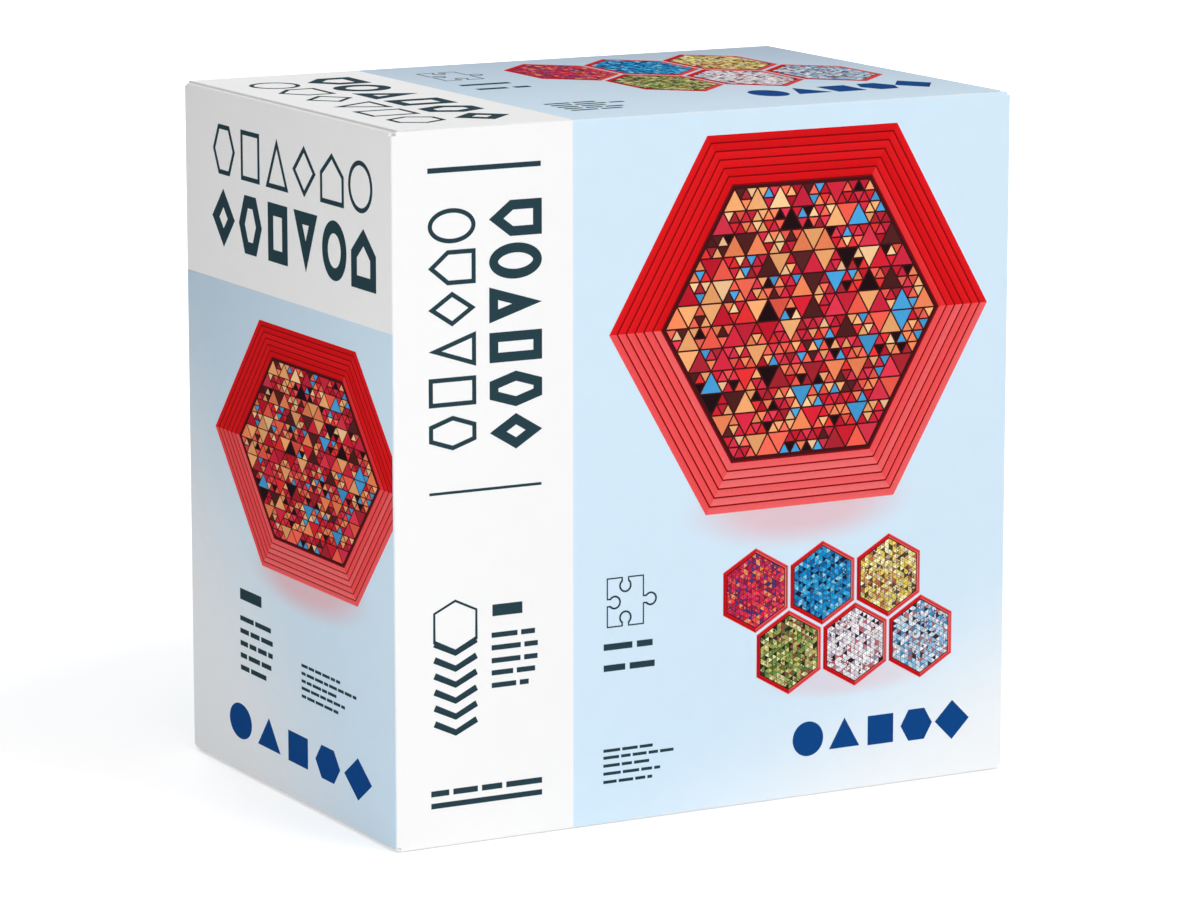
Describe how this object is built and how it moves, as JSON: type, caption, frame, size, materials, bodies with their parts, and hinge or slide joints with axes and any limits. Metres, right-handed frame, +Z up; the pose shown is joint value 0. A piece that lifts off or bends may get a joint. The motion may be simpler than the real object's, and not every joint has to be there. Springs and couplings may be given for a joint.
{
  "type": "sealed printed folding carton",
  "caption": "Closed tuck-end folding carton of varnished printed board, full and sealed, that protects and shows a stack of nesting trays on a shelf.",
  "frame": {"origin": "middle of the carton's underside, on the surface it stands on", "axes": "+X to the right along the wide front panel, +Y from the front panel to the back panel, +Z up"},
  "size_m": [0.206, 0.141, 0.208],
  "materials": {
    "printed_board": "white and pale blue offset print under a satin varnish"
  },
  "bodies": {
    "root": {"carton": "printed_board"}
  },
  "joints": []
}
